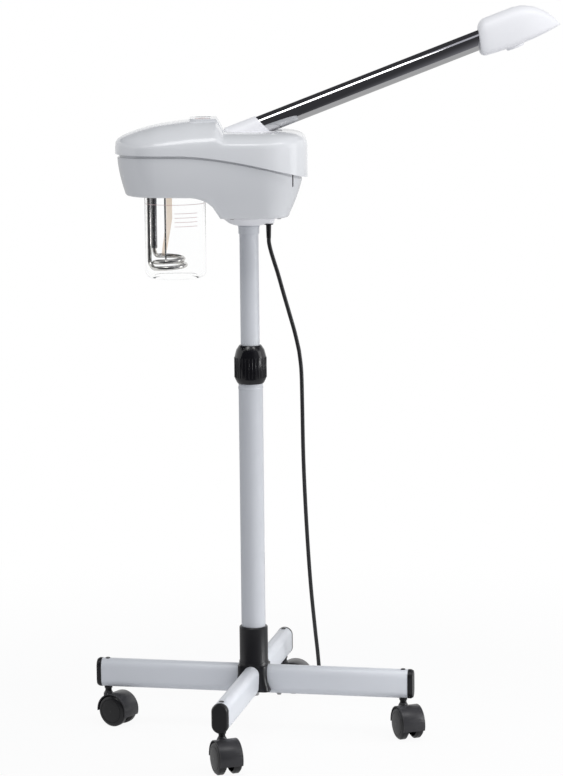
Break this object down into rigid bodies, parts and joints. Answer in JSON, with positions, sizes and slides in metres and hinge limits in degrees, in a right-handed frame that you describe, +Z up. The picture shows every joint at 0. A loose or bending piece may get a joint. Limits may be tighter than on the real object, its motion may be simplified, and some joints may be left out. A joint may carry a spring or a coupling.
{
  "type": "facial steamer on a roller stand",
  "caption": "Facial steamer: a glass-jar steam head with a turning arm and nozzle on a height-adjustable column over a four-legged base with twin-wheel casters.",
  "frame": {"origin": "point on the floor under the axis of the column", "axes": "+Z up along the column; the steam arm points towards +X and the glass jar hangs on the -X side; -Y is the side that the head shows its profile to"},
  "size_m": [0.6932, 0.5714, 1.0746],
  "materials": {
    "white_shell": "gloss white ABS",
    "frame_paint": "satin pale grey-white powder coat",
    "black_moulding": "satin black moulding",
    "charcoal_moulding": "satin charcoal nylon",
    "zinc_steel": "bright zinc-plated steel",
    "chrome": "mirror chrome",
    "heater_steel": "polished stainless steel",
    "flange_steel": "satin cast aluminium",
    "jar_glass": "clear borosilicate glass",
    "silicone": "translucent silicone",
    "beige_sleeve": "matte woven sleeve",
    "board": "satin solder mask",
    "lamp_glass": "clear quartz glass",
    "red_rocker": "gloss red",
    "black_rocker": "gloss black",
    "amber_lens": "gloss amber lens",
    "cord_rubber": "satin black PVC",
    "pin_metal": "nickel-plated brass"
  },
  "bodies": {
    "base": {"hub": "black_moulding", "leg_front": "frame_paint", "leg_right": "frame_paint", "leg_rear": "frame_paint", "leg_left": "frame_paint", "leg_caps": "black_moulding", "leg_plugs": "black_moulding", "stem_sockets": "charcoal_moulding", "base_fasteners": "zinc_steel", "lower_tube": "frame_paint", "slip_bush": "charcoal_moulding", "collet": "black_moulding", "cord_drop": "cord_rubber", "cord_floor": "cord_rubber", "cord_coil": "cord_rubber", "mains_plug": "cord_rubber", "plug_pins": "pin_metal"},
    "caster_front": {"hood_front": "charcoal_moulding", "pins_front": "zinc_steel"},
    "wheel_front_a": {"wheel_front_a": "charcoal_moulding"},
    "wheel_front_b": {"wheel_front_b": "charcoal_moulding"},
    "caster_right": {"hood_right": "charcoal_moulding", "pins_right": "zinc_steel"},
    "wheel_right_a": {"wheel_right_a": "charcoal_moulding"},
    "wheel_right_b": {"wheel_right_b": "charcoal_moulding"},
    "caster_rear": {"hood_rear": "charcoal_moulding", "pins_rear": "zinc_steel"},
    "wheel_rear_a": {"wheel_rear_a": "charcoal_moulding"},
    "wheel_rear_b": {"wheel_rear_b": "charcoal_moulding"},
    "caster_left": {"hood_left": "charcoal_moulding", "pins_left": "zinc_steel"},
    "wheel_left_a": {"wheel_left_a": "charcoal_moulding"},
    "wheel_left_b": {"wheel_left_b": "charcoal_moulding"},
    "collar": {"lock_collar": "black_moulding"},
    "mast": {"upper_tube": "frame_paint", "mast_ring": "frame_paint"},
    "head": {"lower_housing": "white_shell", "top_cover": "white_shell", "bottom_plate": "white_shell", "pole_socket": "frame_paint", "housing_screws": "zinc_steel", "jar_flange": "flange_steel", "jar_gasket": "silicone", "heating_coil": "heater_steel", "sensor_tubes": "heater_steel", "probe_strip": "beige_sleeve", "steam_hose": "silicone", "circuit_board": "board", "ozone_lamp": "lamp_glass", "cord_gland": "black_moulding", "indicator_lamp": "amber_lens"},
    "arm": {"arm_turntable": "white_shell", "turntable_ring": "zinc_steel", "arm_tube": "chrome"},
    "nozzle": {"nozzle_shell": "white_shell", "nozzle_cover": "white_shell", "steam_outlet": "white_shell"},
    "jar": {"glass_jar": "jar_glass"},
    "power_rocker": {"power_switch": "red_rocker"},
    "ozone_rocker": {"ozone_switch": "black_rocker"}
  },
  "joints": [
    {"name": "swivel_front", "type": "hinge", "parent": "base", "child": "caster_front", "pos_m": [-0.04699, -0.22106, 0.055], "axis": [0, 0, 1], "continuous": true},
    {"name": "roll_front_a", "type": "hinge", "parent": "caster_front", "child": "wheel_front_a", "pos_m": [-0.04117, -0.23704, 0.024], "axis": [0.9397, 0.342, 0], "continuous": true},
    {"name": "roll_front_b", "type": "hinge", "parent": "caster_front", "child": "wheel_front_b", "pos_m": [-0.04117, -0.23704, 0.024], "axis": [0.9397, 0.342, 0], "continuous": true},
    {"name": "swivel_right", "type": "hinge", "parent": "base", "child": "caster_right", "pos_m": [0.22106, -0.04699, 0.055], "axis": [0, 0, 1], "continuous": true},
    {"name": "roll_right_a", "type": "hinge", "parent": "caster_right", "child": "wheel_right_a", "pos_m": [0.22688, -0.06296, 0.024], "axis": [0.9397, 0.342, 0], "continuous": true},
    {"name": "roll_right_b", "type": "hinge", "parent": "caster_right", "child": "wheel_right_b", "pos_m": [0.22688, -0.06296, 0.024], "axis": [0.9397, 0.342, 0], "continuous": true},
    {"name": "swivel_rear", "type": "hinge", "parent": "base", "child": "caster_rear", "pos_m": [0.04699, 0.22106, 0.055], "axis": [0, 0, 1], "continuous": true},
    {"name": "roll_rear_a", "type": "hinge", "parent": "caster_rear", "child": "wheel_rear_a", "pos_m": [0.06373, 0.21811, 0.024], "axis": [0.1736, 0.9848, 0], "continuous": true},
    {"name": "roll_rear_b", "type": "hinge", "parent": "caster_rear", "child": "wheel_rear_b", "pos_m": [0.06373, 0.21811, 0.024], "axis": [0.1736, 0.9848, 0], "continuous": true},
    {"name": "swivel_left", "type": "hinge", "parent": "base", "child": "caster_left", "pos_m": [-0.22106, 0.04699, 0.055], "axis": [0, 0, 1], "continuous": true},
    {"name": "roll_left_a", "type": "hinge", "parent": "caster_left", "child": "wheel_left_a", "pos_m": [-0.20697, 0.03748, 0.024], "axis": [0.5592, 0.829, 0], "continuous": true},
    {"name": "roll_left_b", "type": "hinge", "parent": "caster_left", "child": "wheel_left_b", "pos_m": [-0.20697, 0.03748, 0.024], "axis": [0.5592, 0.829, 0], "continuous": true},
    {"name": "collar_twist", "type": "hinge", "parent": "base", "child": "collar", "pos_m": [0, 0, 0.55], "axis": [0, 0, 1], "range_deg": [0, 120]},
    {"name": "mast_height", "type": "slide", "parent": "base", "child": "mast", "axis": [0, 0, 1], "range_m": [-0.16, 0.18], "deforming": ["cord_drop"]},
    {"name": "head_turn", "type": "hinge", "parent": "mast", "child": "head", "pos_m": [0, 0, 0.78], "axis": [0, 0, 1], "range_deg": [-180, 180]},
    {"name": "arm_turn", "type": "hinge", "parent": "head", "child": "arm", "pos_m": [0.008, 0, 0.895], "axis": [0, 0, 1], "range_deg": [-100, 100]},
    {"name": "nozzle_roll", "type": "hinge", "parent": "arm", "child": "nozzle", "pos_m": [0.34523, 0, 1.02865], "axis": [0.9354, 0, 0.3535], "range_deg": [-90, 90]},
    {"name": "jar_drop", "type": "slide", "parent": "head", "child": "jar", "axis": [0, 0, -1], "range_m": [0, 0.16]},
    {"name": "power_press", "type": "hinge", "parent": "head", "child": "power_rocker", "pos_m": [-0.065, -0.022, 0.9125], "axis": [0, -1, 0], "range_deg": [0, 12]},
    {"name": "ozone_press", "type": "hinge", "parent": "head", "child": "ozone_rocker", "pos_m": [-0.065, 0.022, 0.9125], "axis": [0, -1, 0], "range_deg": [0, 12]}
  ]
}
